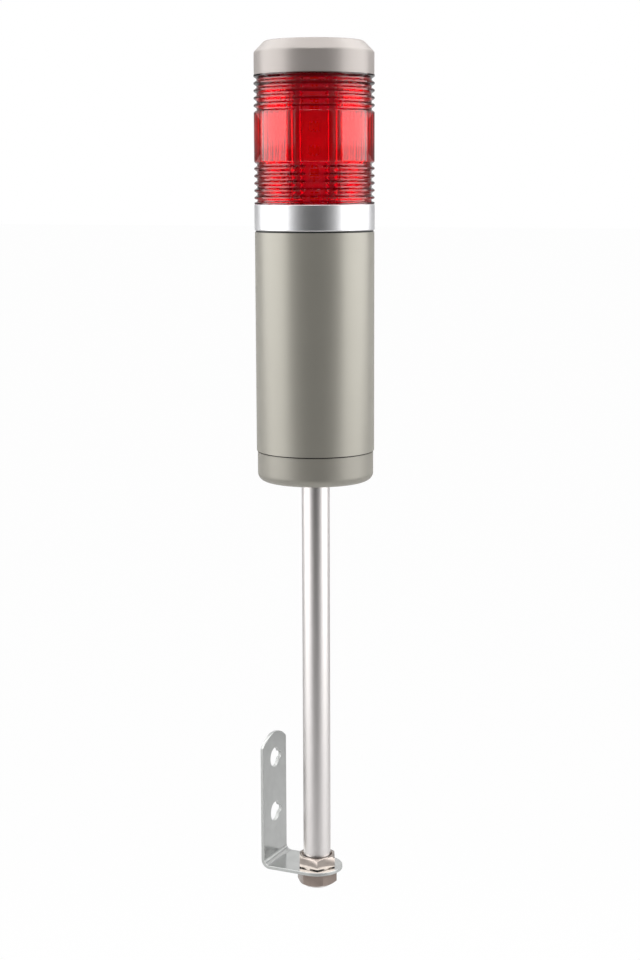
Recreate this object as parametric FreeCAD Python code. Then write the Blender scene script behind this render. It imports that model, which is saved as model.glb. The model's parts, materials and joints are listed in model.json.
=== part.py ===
import FreeCAD, Part

import math
import os

from FreeCAD import Vector

# A single-tier stack light on a pole, held by an L bracket.
# Millimetres. +Z runs up the pole, and the origin is on the pole's axis at its lower end.
# The bracket's upright leg stands on the +Y side, and its outer face meets the wall.

# Clearances
sliding_gap = 0.30          # radial, between pieces that turn on each other
press_gap = 0.10            # radial, between pieces that are pushed or screwed together
shell_wall = 2.2            # of the moulded housing and cap

# Pole
pole_dia = 12.0
pole_bore = 10.0
pole_exposed = 181.6        # from its lower end to the underside of the base
pole_edge = 0.25            # bevel on both ends
thread_past_nut = 2.0       # thread that stands out of the lock nut, inside the base

# Hexagon nuts
nut_flats = 15.4
nut_mouth_dia = 13.3        # of the plain bore before each thread starts
nut_mouth_depth = 1.0       # at the bevelled end
nut_face_dia = 14.4         # the round face that a nut bears on
nut_face_height = 0.5
thin_nut_bevel = 0.7        # height of the bevel on the corners
tall_nut_bevel = 1.2
nut_bevel_slope = 30.0      # degrees
upper_nut_height = 5.0
lower_nut_height = 6.6
lock_nut_height = 5.0
upper_nut_turn = 26.0       # degrees from +X to one corner
lower_nut_turn = 42.0
lock_nut_turn = 0.0
thread_below_nut = 0.8      # pole end that shows under the lower nut
washer_dia = 18.0
washer_thickness = 1.0

# Bracket
sheet = 1.5
strip_width = 22.4          # the foot's end is half round
leg_crown_radius = 16.0     # of the flatter arc that ends the leg
leg_reach = 20.5            # from the pole's axis to the leg's inner face
leg_height = 58.0           # from the foot's upper face to the leg's top
bend_radius = 2.5           # inner
wall_hole_dia = 8.5
wall_hole_pitch = 25.0
lower_hole_height = 21.5    # above the foot's upper face
notch_width = 3.0
notch_reach = 1.9           # past the hole's edge, towards +X

# Lamp, from the base cup to the cap
lamp_turn = 25.5            # degrees about the pole, from the bracket's own directions

# Base cup
base_dia = 49.2
base_height = 12.5
base_edge = 3.5             # radius of the lower edge
base_floor = 3.0
base_boss_dia = 19.0        # around the pole
base_boss_rise = 14.0       # from the underside to the boss's top
spigot_height = 3.0         # of the ring that enters the housing
spigot_wall = 1.6

# Screw pillars, the same three places in the base cup and the housing
pillar_count = 3
pillar_circle = 15.5        # radius
pillar_start = 90.0         # degrees
pillar_dia = 6.4
pillar_web = 2.4            # thickness of the web from a pillar to the wall
screw_dia = 3.0
screw_head_dia = 5.6
screw_head_height = 2.0
screw_slot_width = 0.9
screw_slot_depth = 0.9
base_screw_length = 26.0
base_screw_recess = 3.0     # depth of the head's pocket in the underside
lamp_screw_length = 16.0
pilot_room = 1.5            # of each pilot hole past its screw's end

# Housing and seals
housing_dia = 50.0
housing_length = 91.9
base_seal_thickness = 0.5
seal_inset = 0.5            # how far the seals lie inside the housing's face
ring_seal_thickness = 0.6

# Driver board, upright in two guides
board_thickness = 1.6
board_front = 2.0           # y of its front face
board_rise = 18.0           # of its lower edge above the housing's lower end
board_headroom = 0.5        # under the lamp plate's bosses, which hold it down
guide_gap = 0.2
guide_floor = 2.2           # from the board's edge to the housing's inner wall
guide_rib = 1.1             # thickness of one rib
guide_grip = 2.2            # how far the guide covers the board's edge
guide_stop = 1.0            # closed lower end of each guide
coil_dia = 10.0
coil_height = 7.0
coil_cheek = 1.4            # thickness of the drum's end discs
coil_winding_inset = 0.7
coil_rise = 44.0
capacitor_dia = 7.0
capacitor_length = 11.0
capacitor_rise = 26.0
capacitor_pitch = 16.0
chip_size = 6.0
chip_thickness = 1.7
chip_rise = 14.0
chip_pitch = 12.0
terminal_pitch = 5.0
terminal_count = 3
terminal_depth = 8.5
terminal_height = 10.0
terminal_rise = 3.0
terminal_screw_dia = 3.0
terminal_screw_drop = 2.5   # from the block's top to the screws' axis
terminal_mouth = 3.2

# Silver trim ring
ring_dia = 50.2
ring_height = 11.0
ring_wall = 1.4
ring_flange = 1.5           # thickness of its inner flange
ring_flange_bore = 26.0
ring_edge = 0.4

# Lamp base and its bayonet
lamp_plate = 2.0
collar_dia = 42.6
collar_wall = 2.4
collar_height = 6.5
bayonet_count = 3
bayonet_start = 30.0        # degrees, centre of the first lug when locked
bayonet_turn = 20.0         # degrees from locked to free
lug_width = 16.0            # degrees
lug_height = 1.8
lug_reach = 1.1
lug_rise = 2.0              # of the lug's underside above the lamp plate
lug_gap = 0.3

# Contacts
pin_count = 4
pin_pitch = 2.54
pin_width = 0.8
pin_past_plate = 3.0
pin_line = 5.2              # y of the row of pins
contact_block_depth = 4.0
contact_block_height = 5.0
contact_block_width = 12.0
contact_grip = 3.0          # how far each pin enters the block

# Lamp post
post_width = 18.4
post_corner = 1.2           # radius of its upright edges
post_wall = 1.5
post_height = 58.0
post_foot_dia = 23.0
post_foot = 1.8
post_ear_radius = 3.0
post_screw_room = 0.6       # between the post and a screw head
post_screw_dia = 2.2
post_screw_head = 4.2
post_screw_head_height = 1.4
post_screw_length = 6.0
lamp_board_width = 11.2
lamp_board_height = 50.0
lamp_board_thickness = 1.0
lamp_board_rise = 4.0
led_rows = 5
led_pitch = 10.0
led_width = 3.5
led_thickness = 0.8
post_boss = 3.4             # radius of the bosses under the lamp plate
post_boss_floor = 1.5       # of the boss under the screw's end

# Lens
lens_dia = 50.0
lens_skirt = 7.0            # below its foot, inside the trim ring
lens_skirt_wall = 1.6
lens_neck = 5.0             # above its shoulder, inside the cap
lens_seal_thickness = 0.5
band_height = 20.4          # the smooth band at mid height
ribs = 5                    # above the band, and as many below
rib_land = 0.7
groove_width = 2.3
groove_floor = 0.7
groove_depth = 1.2
band_edge = 0.4             # radius of the band's corners
foot_flange = 0.6
foot_groove = 1.5
flutes = 48
flute_depth = 0.6
lens_bore = 43.2

# Cap
cap_dia = 49.8
cap_side = 9.2
cap_bevel_height = 4.5
cap_bevel_inset = 4.4
cap_edge = 1.4              # radius of its soft edges
cap_rim_wall = 1.7          # around the lens's neck
cap_seal_thickness = 1.0

# Heights that follow
foot_z = thread_below_nut + lower_nut_height
foot_top = foot_z + sheet
base_z = pole_exposed
base_top = base_z + base_height
boss_top = base_z + base_boss_rise
lock_nut_z = boss_top + washer_thickness
pole_top = lock_nut_z + lock_nut_height + thread_past_nut
spigot_top = base_top + spigot_height
housing_z = base_top + base_seal_thickness
housing_top = housing_z + housing_length
ring_z = housing_top + ring_seal_thickness
ring_top = ring_z + ring_height
plate_z = ring_z + ring_flange
plate_top = plate_z + lamp_plate
skirt_z = ring_top - lens_skirt
rib_pitch = rib_land + groove_width
ribbed_height = ribs * rib_pitch
lens_foot = ring_top
band_z = lens_foot + foot_flange + foot_groove + ribbed_height
band_top = band_z + band_height
lens_shoulder = band_top + ribbed_height
neck_top = lens_shoulder + lens_neck
cap_ledge = neck_top + cap_seal_thickness
cap_top = lens_shoulder + cap_side + cap_bevel_height

# Radii that follow
pole_r = pole_dia / 2
housing_r = housing_dia / 2
housing_bore_r = housing_r - shell_wall
base_r = base_dia / 2
base_bore_r = base_r - shell_wall
spigot_r = housing_bore_r - press_gap
lens_r = lens_dia / 2
lens_bore_r = lens_bore / 2
skirt_r = lens_bore_r + lens_skirt_wall
ring_r = ring_dia / 2
ring_bore_r = ring_r - ring_wall
collar_r = collar_dia / 2
cap_r = cap_dia / 2
cap_bore_r = cap_r - cap_rim_wall
neck_r = cap_bore_r - press_gap

# Lamp post screws and driver board edges that follow
post_screw_circle = post_width / 2 + post_screw_room + post_screw_head / 2
post_boss_z = plate_top - post_screw_length - post_boss_floor
board_back = board_front + board_thickness
board_half = math.sqrt(housing_bore_r ** 2 - board_back ** 2) - guide_floor
board_z = housing_z + board_rise
board_top = post_boss_z - board_headroom


def turned(outline):
    """A solid of revolution about Z. The outline is (radius, height) points, closed by itself.

    A point followed by a number is a corner rounded with that radius.
    """
    points = [Vector(point[0], 0, point[1]) for point in outline]
    rounds = [point[2] if len(point) > 2 else 0 for point in outline]
    wire = Part.makePolygon(points + points[:1])
    face = Part.Face(wire)
    solid = face.revolve(Vector(0, 0, 0), Vector(0, 0, 1), 360)
    for point, radius in zip(points, rounds):
        if radius:
            solid = solid.makeFillet(radius, [circle_at(solid, point.x, point.z)])
    return solid


def circle_at(solid, radius, height):
    """The full circular edge of a turned solid at one radius and height."""
    for edge in solid.Edges:
        curve = edge.Curve
        if not isinstance(curve, Part.Circle):
            continue
        if abs(curve.Radius - radius) < 1e-4 and abs(curve.Center.z - height) < 1e-4:
            return edge
    raise ValueError("no circle of radius %.3f at height %.3f" % (radius, height))


def disc(radius, low, high, x=0, y=0):
    """An upright cylinder."""
    return Part.makeCylinder(radius, high - low, Vector(x, y, low))


def tube(outer, inner, low, high):
    """An upright tube about Z."""
    return turned([(inner, low), (outer, low), (outer, high), (inner, high)])


def block(low, high):
    """A box from its lowest corner to its highest one."""
    size = [b - a for a, b in zip(low, high)]
    return Part.makeBox(size[0], size[1], size[2], Vector(*low))


def prism(points, low, high):
    """An upright prism over a closed outline of (x, y) points."""
    corners = [Vector(x, y, low) for x, y in points]
    face = Part.Face(Part.makePolygon(corners + corners[:1]))
    return face.extrude(Vector(0, 0, high - low))


def polar(radius, degrees):
    """The point at a radius and an angle from +X."""
    angle = math.radians(degrees)
    return radius * math.cos(angle), radius * math.sin(angle)


def turn(shape, degrees):
    """A copy turned about Z."""
    copy = shape.copy()
    copy.rotate(Vector(0, 0, 0), Vector(0, 0, 1), degrees)
    return copy


def ring_sector(outer, inner, low, high, first, last):
    """A piece of an upright tube between two angles in degrees."""
    corners = [(inner, low), (outer, low), (outer, high), (inner, high)]
    points = [Vector(r, 0, z) for r, z in corners]
    face = Part.Face(Part.makePolygon(points + points[:1]))
    return turn(face.revolve(Vector(0, 0, 0), Vector(0, 0, 1), last - first), first)


def pillar_places():
    """The (x, y) centres of the three screw pillars."""
    step = 360 / pillar_count
    return [polar(pillar_circle, pillar_start + i * step) for i in range(pillar_count)]


def group(solids):
    """Several separate solids in one node."""
    return Part.makeCompound(solids)


# Nuts and washers

def hex_nut(bearing_z, way, height, turn_degrees, bevel):
    """A hexagon nut that stands on its round bearing face, up from it if way is 1, down if -1.

    Its corners are bevelled at the far end, where the thread starts below a plain mouth.
    """
    corner_r = nut_flats / math.sqrt(3)
    corners = [polar(corner_r, turn_degrees + 60 * i) for i in range(6)]
    bevel_reach = bevel / math.tan(math.radians(nut_bevel_slope))
    face_r = nut_face_dia / 2
    hole_r = pole_r + press_gap
    mouth_r = nut_mouth_dia / 2
    mouth_cone = mouth_r - hole_r
    outline = [
        (mouth_r, 0), (face_r, 0), (face_r, nut_face_height), (corner_r, nut_face_height),
        (corner_r, height - bevel), (corner_r - bevel_reach, height), (mouth_r, height),
        (mouth_r, height - nut_mouth_depth), (hole_r, height - nut_mouth_depth - mouth_cone),
        (hole_r, mouth_cone),
    ]
    nut = prism(corners, 0, height).common(turned(outline))
    if way < 0:
        nut = nut.mirror(Vector(0, 0, 0), Vector(0, 0, 1))
    nut.translate(Vector(0, 0, bearing_z))
    return nut


def upper_bracket_nut():
    return hex_nut(foot_top, 1, upper_nut_height, upper_nut_turn, thin_nut_bevel)


def lower_bracket_nut():
    return hex_nut(foot_z, -1, lower_nut_height, lower_nut_turn, tall_nut_bevel)


def pole_lock_nut():
    return hex_nut(lock_nut_z, 1, lock_nut_height, lock_nut_turn, thin_nut_bevel)


def pole_lock_washer():
    return tube(washer_dia / 2, pole_r + press_gap, boss_top, lock_nut_z)


def pole():
    """Drawn tube, open right through for the cable."""
    edge = pole_edge
    bore_r = pole_bore / 2
    return turned([
        (bore_r, 0), (pole_r - edge, 0), (pole_r, edge),
        (pole_r, pole_top - edge), (pole_r - edge, pole_top), (bore_r, pole_top),
    ])


# Bracket

def notched_hole(height):
    """The cutter for one wall hole: round, with a narrow notch on its +X side."""
    reach = leg_reach + 2 * sheet
    hole_r = wall_hole_dia / 2
    along = Vector(0, 1, 0)
    hole = Part.makeCylinder(hole_r, 3 * sheet, Vector(0, leg_reach - sheet, height), along)
    end_x = hole_r + notch_reach - notch_width / 2
    slot = block(
        (0, leg_reach - sheet, height - notch_width / 2),
        (end_x, reach, height + notch_width / 2),
    )
    end = Part.makeCylinder(notch_width / 2, 3 * sheet, Vector(end_x, leg_reach - sheet, height), along)
    return hole.fuse(slot).fuse(end)


def bracket():
    """One folded strip with round ends: a foot about the pole and a leg for the wall."""
    outer_bend = bend_radius + sheet
    wall_y = leg_reach + sheet
    leg_top = foot_top + leg_height
    bend_y = leg_reach - bend_radius
    bend_z = foot_top + bend_radius
    half = strip_width / 2
    diagonal = math.sqrt(0.5)

    # The strip's section in the YZ plane
    corner = Vector(0, bend_y, bend_z)
    outer_mid = corner + Vector(0, outer_bend * diagonal, -outer_bend * diagonal)
    inner_mid = corner + Vector(0, bend_radius * diagonal, -bend_radius * diagonal)
    foot_end_low = Vector(0, -half, foot_z)
    foot_end_high = Vector(0, -half, foot_top)
    outer_start = Vector(0, bend_y, foot_z)
    outer_end = Vector(0, wall_y, bend_z)
    inner_start = Vector(0, leg_reach, bend_z)
    inner_end = Vector(0, bend_y, foot_top)
    leg_end_outer = Vector(0, wall_y, leg_top)
    leg_end_inner = Vector(0, leg_reach, leg_top)
    section = Part.Wire([
        Part.LineSegment(foot_end_low, outer_start).toShape(),
        Part.Arc(outer_start, outer_mid, outer_end).toShape(),
        Part.LineSegment(outer_end, leg_end_outer).toShape(),
        Part.LineSegment(leg_end_outer, leg_end_inner).toShape(),
        Part.LineSegment(leg_end_inner, inner_start).toShape(),
        Part.Arc(inner_start, inner_mid, inner_end).toShape(),
        Part.LineSegment(inner_end, foot_end_high).toShape(),
        Part.LineSegment(foot_end_high, foot_end_low).toShape(),
    ])
    strip = Part.Face(section).extrude(Vector(strip_width, 0, 0))
    strip.translate(Vector(-half, 0, 0))

    # The round ends, seen from above and from the wall
    foot_plan = disc(half, foot_z - sheet, bend_z).fuse(
        block((-half, 0, foot_z - sheet), (half, wall_y + sheet, bend_z))
    )
    crown_z = leg_top - leg_crown_radius
    crown_centre = Vector(0, bend_y, crown_z)
    crown = Part.makeCylinder(leg_crown_radius, outer_bend + 2 * sheet, crown_centre, Vector(0, 1, 0))
    leg_end = crown.fuse(block((-half, bend_y, bend_z), (half, wall_y + sheet, crown_z)))
    leg_plan = leg_end.common(block((-half, bend_y, bend_z), (half, wall_y + sheet, leg_top)))
    folded = strip.common(foot_plan.fuse(leg_plan)).removeSplitter()

    folded = folded.cut(disc(pole_r + sliding_gap, foot_z - sheet, foot_top + sheet))
    for i in range(2):
        folded = folded.cut(notched_hole(foot_top + lower_hole_height + i * wall_hole_pitch))
    return folded


# Base cup and what seals it

def screw(x, y, seat, length, dia, head_dia, head_height, points_up):
    """A slotted screw on an upright axis. Its head rests on the seat."""
    way = 1 if points_up else -1
    head_low, head_high = sorted([seat, seat - way * head_height])
    shank_low, shank_high = sorted([seat, seat + way * length])
    body = disc(head_dia / 2, head_low, head_high, x, y)
    body = body.fuse(disc(dia / 2, shank_low, shank_high, x, y))
    outer_face = seat - way * head_height
    slot_low, slot_high = sorted([outer_face, outer_face + way * screw_slot_depth])
    half = screw_slot_width / 2
    return body.cut(block((x - head_dia, y - half, slot_low), (x + head_dia, y + half, slot_high)))


def base_cup():
    """Moulded cup with a rounded lower edge, a boss for the pole and three screw pillars."""
    floor_top = base_z + base_floor
    cup = turned([
        (0, base_z), (base_r, base_z, base_edge), (base_r, base_top),
        (spigot_r, base_top), (spigot_r, spigot_top),
        (spigot_r - spigot_wall, spigot_top), (spigot_r - spigot_wall, base_top),
        (base_bore_r - spigot_wall, base_top - spigot_wall), (base_bore_r - spigot_wall, floor_top),
        (0, floor_top),
    ])
    cup = cup.fuse(disc(base_boss_dia / 2, base_z + base_floor / 2, boss_top))
    for x, y in pillar_places():
        cup = cup.fuse(disc(pillar_dia / 2, base_z + base_floor / 2, spigot_top, x, y))
    cup = cup.cut(disc(pole_r + press_gap, base_z - sheet, boss_top + sheet))
    pocket_top = base_z + base_screw_recess
    for x, y in pillar_places():
        cup = cup.cut(disc(screw_dia / 2 + press_gap, base_z, spigot_top + sheet, x, y))
        cup = cup.cut(disc(screw_head_dia / 2 + press_gap, base_z - sheet, pocket_top, x, y))
    return cup.removeSplitter()


def base_screws():
    seat = base_z + base_screw_recess
    return group([
        screw(x, y, seat, base_screw_length, screw_dia, screw_head_dia, screw_head_height, True)
        for x, y in pillar_places()
    ])


def base_seal():
    return tube(base_r - seal_inset, spigot_r + press_gap, base_top, housing_z)


# Housing

def pillar_with_web(x, y, low, high):
    """A screw pillar joined to the housing's wall by a web."""
    post = disc(pillar_dia / 2, low, high, x, y)
    half = pillar_web / 2
    web = block((pillar_circle, -half, low), (housing_bore_r + shell_wall / 2, half, high))
    return post.fuse(turn(web, math.degrees(math.atan2(y, x))))


def board_guide(side):
    """The pair of ribs that holds one upright edge of the driver board."""
    inner = board_half - guide_grip
    slot_end = board_half + guide_gap
    ribs_low = board_front - guide_gap - guide_rib
    ribs_high = board_back + guide_gap + guide_rib
    wall_end = housing_bore_r + shell_wall / 2
    low = board_z - guide_stop
    guide = block((inner, ribs_low, low), (wall_end, ribs_high, board_top))
    guide = guide.common(disc(housing_bore_r + shell_wall / 2, low, board_top))
    slot = block(
        (0, board_front - guide_gap, board_z), (slot_end, board_back + guide_gap, board_top + guide_stop)
    )
    guide = guide.cut(slot)
    if side < 0:
        guide = guide.mirror(Vector(0, 0, 0), Vector(1, 0, 0))
    return guide


def housing():
    """Long moulded tube with three full-height pillars and two board guides inside."""
    body = tube(housing_r, housing_bore_r, housing_z, housing_top)
    for x, y in pillar_places():
        body = body.fuse(pillar_with_web(x, y, spigot_top, housing_top))
    for side in (-1, 1):
        body = body.fuse(board_guide(side))
    pilot_r = screw_dia / 2 + press_gap
    base_screw_end = base_z + base_screw_recess + base_screw_length
    lamp_screw_end = plate_top - lamp_screw_length
    for x, y in pillar_places():
        body = body.cut(disc(pilot_r, spigot_top - pilot_room, base_screw_end + pilot_room, x, y))
        body = body.cut(disc(pilot_r, lamp_screw_end - pilot_room, housing_top + pilot_room, x, y))
    return body.removeSplitter()


def ring_seal():
    seal = tube(ring_r - seal_inset, ring_flange_bore / 2, housing_top, ring_z)
    return seal.cut(screw_holes(housing_top - sheet, ring_z + sheet))


def screw_holes(low, high):
    """Three clearance holes over the pillars."""
    hole_r = screw_dia / 2 + press_gap
    cutter = disc(hole_r, low, high, *pillar_places()[0])
    for x, y in pillar_places()[1:]:
        cutter = cutter.fuse(disc(hole_r, low, high, x, y))
    return cutter


# Driver board and what it carries

def driver_board():
    return block((-board_half, board_front, board_z), (board_half, board_back, board_top))


def board_capacitors():
    """Two electrolytic cans that stand out from the board's back."""
    cans = []
    for side in (-1, 1):
        place = Vector(side * capacitor_pitch / 2, board_back, board_z + capacitor_rise)
        cans.append(Part.makeCylinder(capacitor_dia / 2, capacitor_length, place, Vector(0, 1, 0)))
    return group(cans)


def board_coil():
    """A drum coil: two cheeks and the winding between them, potted as one."""
    radius = coil_dia / 2
    winding_r = radius - coil_winding_inset
    drum = turned([
        (0, 0), (radius, 0), (radius, coil_cheek), (winding_r, coil_cheek),
        (winding_r, coil_height - coil_cheek), (radius, coil_height - coil_cheek),
        (radius, coil_height), (0, coil_height),
    ])
    drum.rotate(Vector(0, 0, 0), Vector(1, 0, 0), -90)
    drum.translate(Vector(0, board_back, board_z + coil_rise))
    return drum


def board_chips():
    chips = []
    for side in (-1, 1):
        x = side * chip_pitch / 2
        z = board_z + chip_rise
        half = chip_size / 2
        far_corner = (x + half, board_back + chip_thickness, z + half)
        chips.append(block((x - half, board_back, z - half), far_corner))
    return group(chips)


def terminal_places():
    middle = (terminal_count - 1) / 2
    return [(i - middle) * terminal_pitch for i in range(terminal_count)]


def terminal_block():
    """Wires enter from below, and screws are turned from the front."""
    half = terminal_count * terminal_pitch / 2
    low = board_z + terminal_rise
    high = low + terminal_height
    front = board_front - terminal_depth
    body = block((-half, front, low), (half, board_front, high))
    mouth = terminal_mouth / 2
    mid_y = (front + board_front) / 2
    for x in terminal_places():
        body = body.cut(disc(mouth, low - sheet, low + terminal_height / 2, x, mid_y))
        body = body.cut(Part.makeCylinder(
            terminal_screw_dia / 2 + press_gap, terminal_depth / 2,
            Vector(x, front, high - terminal_screw_drop), Vector(0, 1, 0),
        ))
    return body


def terminal_screws():
    front = board_front - terminal_depth
    z = board_z + terminal_rise + terminal_height - terminal_screw_drop
    half = screw_slot_width / 2
    screws = []
    for x in terminal_places():
        start = front + screw_slot_depth
        barrel = Part.makeCylinder(
            terminal_screw_dia / 2, front + terminal_depth / 2 - start, Vector(x, start, z), Vector(0, 1, 0)
        )
        slot = block(
            (x - terminal_screw_dia, start, z - half),
            (x + terminal_screw_dia, start + screw_slot_depth, z + half),
        )
        screws.append(barrel.cut(slot))
    return group(screws)


def pin_places():
    middle = (pin_count - 1) / 2
    return [(i - middle) * pin_pitch for i in range(pin_count)]


def pin_cutters(low, high):
    """Square holes that the contact pins pass through."""
    half = pin_width / 2 + press_gap
    return group([
        block((x - half, pin_line - half, low), (x + half, pin_line + half, high)) for x in pin_places()
    ])


def contact_block():
    """The socket on the board's top edge that takes the pins."""
    half = contact_block_width / 2
    low = board_top - contact_block_height
    body = block((-half, board_back, low), (half, board_back + contact_block_depth, board_top))
    return body.cut(pin_cutters(board_top - contact_grip, board_top + sheet))


def contact_pins():
    half = pin_width / 2
    low = board_top - contact_grip
    high = plate_top + post_foot + pin_past_plate
    return group([
        block((x - half, pin_line - half, low), (x + half, pin_line + half, high)) for x in pin_places()
    ])


# Trim ring and lamp base

def trim_ring():
    """Turned ring with a narrow inner flange that is clamped under the lamp base."""
    edge = ring_edge
    ring = turned([
        (ring_flange_bore / 2, ring_z), (ring_r - edge, ring_z), (ring_r, ring_z + edge),
        (ring_r, ring_top - edge), (ring_r - edge, ring_top), (ring_bore_r, ring_top),
        (ring_bore_r, plate_z), (ring_flange_bore / 2, plate_z),
    ])
    return ring.cut(screw_holes(ring_z - sheet, plate_z + sheet))


def bayonet_groove(start):
    """The cutter for one groove: a run along the collar and a way in from its top."""
    margin = math.degrees(lug_gap / collar_r)
    half = lug_width / 2 + margin
    floor_r = collar_r - lug_reach
    low = plate_top + lug_rise - lug_gap
    high = plate_top + lug_rise + lug_height + lug_gap
    run = ring_sector(collar_r + sheet, floor_r, low, high, start - half, start + bayonet_turn + half)
    way_in = ring_sector(
        collar_r + sheet, floor_r, low, plate_top + collar_height + sheet,
        start + bayonet_turn - half, start + bayonet_turn + half,
    )
    return run.fuse(way_in)


def lamp_base():
    """Plate and grooved collar that close the housing and take the lens."""
    collar_top = plate_top + collar_height
    base = turned([
        (0, plate_z), (ring_bore_r - press_gap, plate_z), (ring_bore_r - press_gap, plate_top),
        (collar_r, plate_top), (collar_r, collar_top), (collar_r - collar_wall, collar_top),
        (collar_r - collar_wall, plate_top), (0, plate_top),
    ])
    plug_r = ring_flange_bore / 2 - press_gap
    base = base.fuse(disc(plug_r, housing_top, plate_z + lamp_plate / 2))
    for side in (-1, 1):
        boss = disc(post_boss, post_boss_z, plate_z + lamp_plate / 2, side * post_screw_circle, 0)
        base = base.fuse(boss.common(disc(plug_r, post_boss_z, plate_top)))
    for i in range(bayonet_count):
        base = base.cut(bayonet_groove(bayonet_start + i * 360 / bayonet_count))
    base = base.cut(screw_holes(plate_z - sheet, plate_top + sheet))
    base = base.cut(pin_cutters(housing_top - sheet, plate_top + sheet))
    for side in (-1, 1):
        pilot = disc(
            post_screw_dia / 2 + press_gap, plate_top - post_screw_length, plate_top + sheet,
            side * post_screw_circle, 0,
        )
        base = base.cut(pilot)
    return base.removeSplitter()


def lamp_base_screws():
    return group([
        screw(x, y, plate_top, lamp_screw_length, screw_dia, screw_head_dia, screw_head_height, False)
        for x, y in pillar_places()
    ])


# Lamp post and its boards

def led_post():
    """Square hollow post on a round foot with two screw ears."""
    half = post_width / 2
    top = plate_top + post_height
    foot_top_z = plate_top + post_foot
    foot = disc(post_foot_dia / 2, plate_top, foot_top_z)
    ears = block(
        (-post_screw_circle, -post_ear_radius, plate_top), (post_screw_circle, post_ear_radius, foot_top_z)
    )
    foot = foot.fuse(ears)
    for side in (-1, 1):
        foot = foot.fuse(disc(post_ear_radius, plate_top, foot_top_z, side * post_screw_circle, 0))
    shaft = block((-half, -half, plate_top), (half, half, top))
    upright = [edge for edge in shaft.Edges if abs(edge.tangentAt(edge.FirstParameter).z) > 0.5]
    post = foot.fuse(shaft.makeFillet(post_corner, upright))
    inner = half - post_wall
    post = post.cut(block((-inner, -inner, foot_top_z), (inner, inner, top - post_wall)))
    post = post.cut(pin_cutters(plate_top - sheet, foot_top_z + sheet))
    for side in (-1, 1):
        post = post.cut(disc(
            post_screw_dia / 2 + press_gap, plate_top - sheet, foot_top_z + sheet,
            side * post_screw_circle, 0,
        ))
    return post.removeSplitter()


def post_screws():
    seat = plate_top + post_foot
    return group([
        screw(
            side * post_screw_circle, 0, seat, post_screw_length, post_screw_dia,
            post_screw_head, post_screw_head_height, False,
        )
        for side in (-1, 1)
    ])


def led_boards():
    """Four boards, one on each face of the post."""
    half = post_width / 2
    low = plate_top + lamp_board_rise
    board = block(
        (half, -lamp_board_width / 2, low),
        (half + lamp_board_thickness, lamp_board_width / 2, low + lamp_board_height),
    )
    return group([turn(board, 90 * i) for i in range(4)])


def leds():
    """A column of lamps on each board."""
    face = post_width / 2 + lamp_board_thickness
    middle = plate_top + lamp_board_rise + lamp_board_height / 2
    half = led_width / 2
    solids = []
    for side in range(4):
        for row in range(led_rows):
            z = middle + (row - (led_rows - 1) / 2) * led_pitch
            lamp = block((face, -half, z - half), (face + led_thickness, half, z + half))
            solids.append(turn(lamp, 90 * side))
    return group(solids)


# Lens

def ribbed_side(low, downward):
    """Outline points of one ribbed stretch, from its band edge outwards, ribs and grooves in turn."""
    flank = (groove_width - groove_floor) / 2
    floor_r = lens_r - groove_depth
    points = []
    for i in range(ribs):
        start = low + i * rib_pitch
        points.append((lens_r, start, 0 if i else band_edge))
        points.append((floor_r, start + flank))
        points.append((floor_r, start + flank + groove_floor))
        points.append((lens_r, start + groove_width))
    if downward:
        middle = low + ribbed_height / 2
        points = [(point[0], 2 * middle - point[1], *point[2:]) for point in reversed(points)]
    return points


def red_lens():
    """Moulded lens: ring ribs outside, upright flutes inside, lugs under its skirt."""
    floor_r = lens_r - groove_depth
    skirt_bore_r = skirt_r - lens_skirt_wall
    flange_top = lens_foot + foot_flange
    flank = (foot_groove - groove_floor) / 2
    outline = [
        (skirt_bore_r, skirt_z), (skirt_r, skirt_z), (skirt_r, lens_foot), (lens_r, lens_foot),
        (lens_r, flange_top), (floor_r, flange_top + flank), (floor_r, flange_top + flank + groove_floor),
    ]
    outline += ribbed_side(flange_top + foot_groove, True)
    outline += ribbed_side(band_top, False)
    outline += [
        (lens_r, lens_shoulder), (neck_r, lens_shoulder), (neck_r, neck_top), (skirt_bore_r, neck_top),
    ]
    body = turned(outline)

    # Upright prisms on the inner wall, between the skirt and the neck
    ridge_r = lens_bore_r
    valley_r = lens_bore_r + flute_depth
    points = []
    for i in range(flutes):
        angle = 360 * i / flutes
        points.append(polar(valley_r, angle))
        points.append(polar(ridge_r, angle + 180 / flutes))
    body = body.cut(prism(points, lens_foot, lens_shoulder))

    # Lugs that run in the lamp base's grooves
    lug_low = plate_top + lug_rise
    overlap = lens_skirt_wall / 2
    for i in range(bayonet_count):
        middle = bayonet_start + i * 360 / bayonet_count
        lug = ring_sector(
            skirt_bore_r + overlap, collar_r - lug_reach + sliding_gap, lug_low, lug_low + lug_height,
            middle - lug_width / 2, middle + lug_width / 2,
        )
        body = body.fuse(lug)
    return body.removeSplitter()


def lens_seal():
    """Flat ring that the lens's skirt presses on the lamp plate."""
    return tube(skirt_r, collar_r + sliding_gap, plate_top, plate_top + lens_seal_thickness)


# Cap

def top_cap():
    """Moulded cap with a straight side, a bevelled shoulder and a flat top, hollow inside."""
    bevel_z = lens_shoulder + cap_side
    bevel_r = cap_r - cap_bevel_inset
    room_r = neck_r - lens_skirt_wall
    slope = math.atan2(cap_bevel_height, cap_bevel_inset)
    shift = shell_wall * math.tan(slope / 2)
    ceiling = cap_top - shell_wall
    inner_shoulder = bevel_z - shift + (cap_r - shell_wall - room_r) * math.tan(slope)
    inner_top_r = room_r - (ceiling - inner_shoulder) / math.tan(slope)
    return turned([
        (0, cap_top), (bevel_r, cap_top, cap_edge), (cap_r, bevel_z, cap_edge), (cap_r, lens_shoulder),
        (cap_bore_r, lens_shoulder), (cap_bore_r, cap_ledge), (room_r, cap_ledge),
        (room_r, inner_shoulder), (inner_top_r, ceiling), (0, ceiling),
    ])


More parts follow.
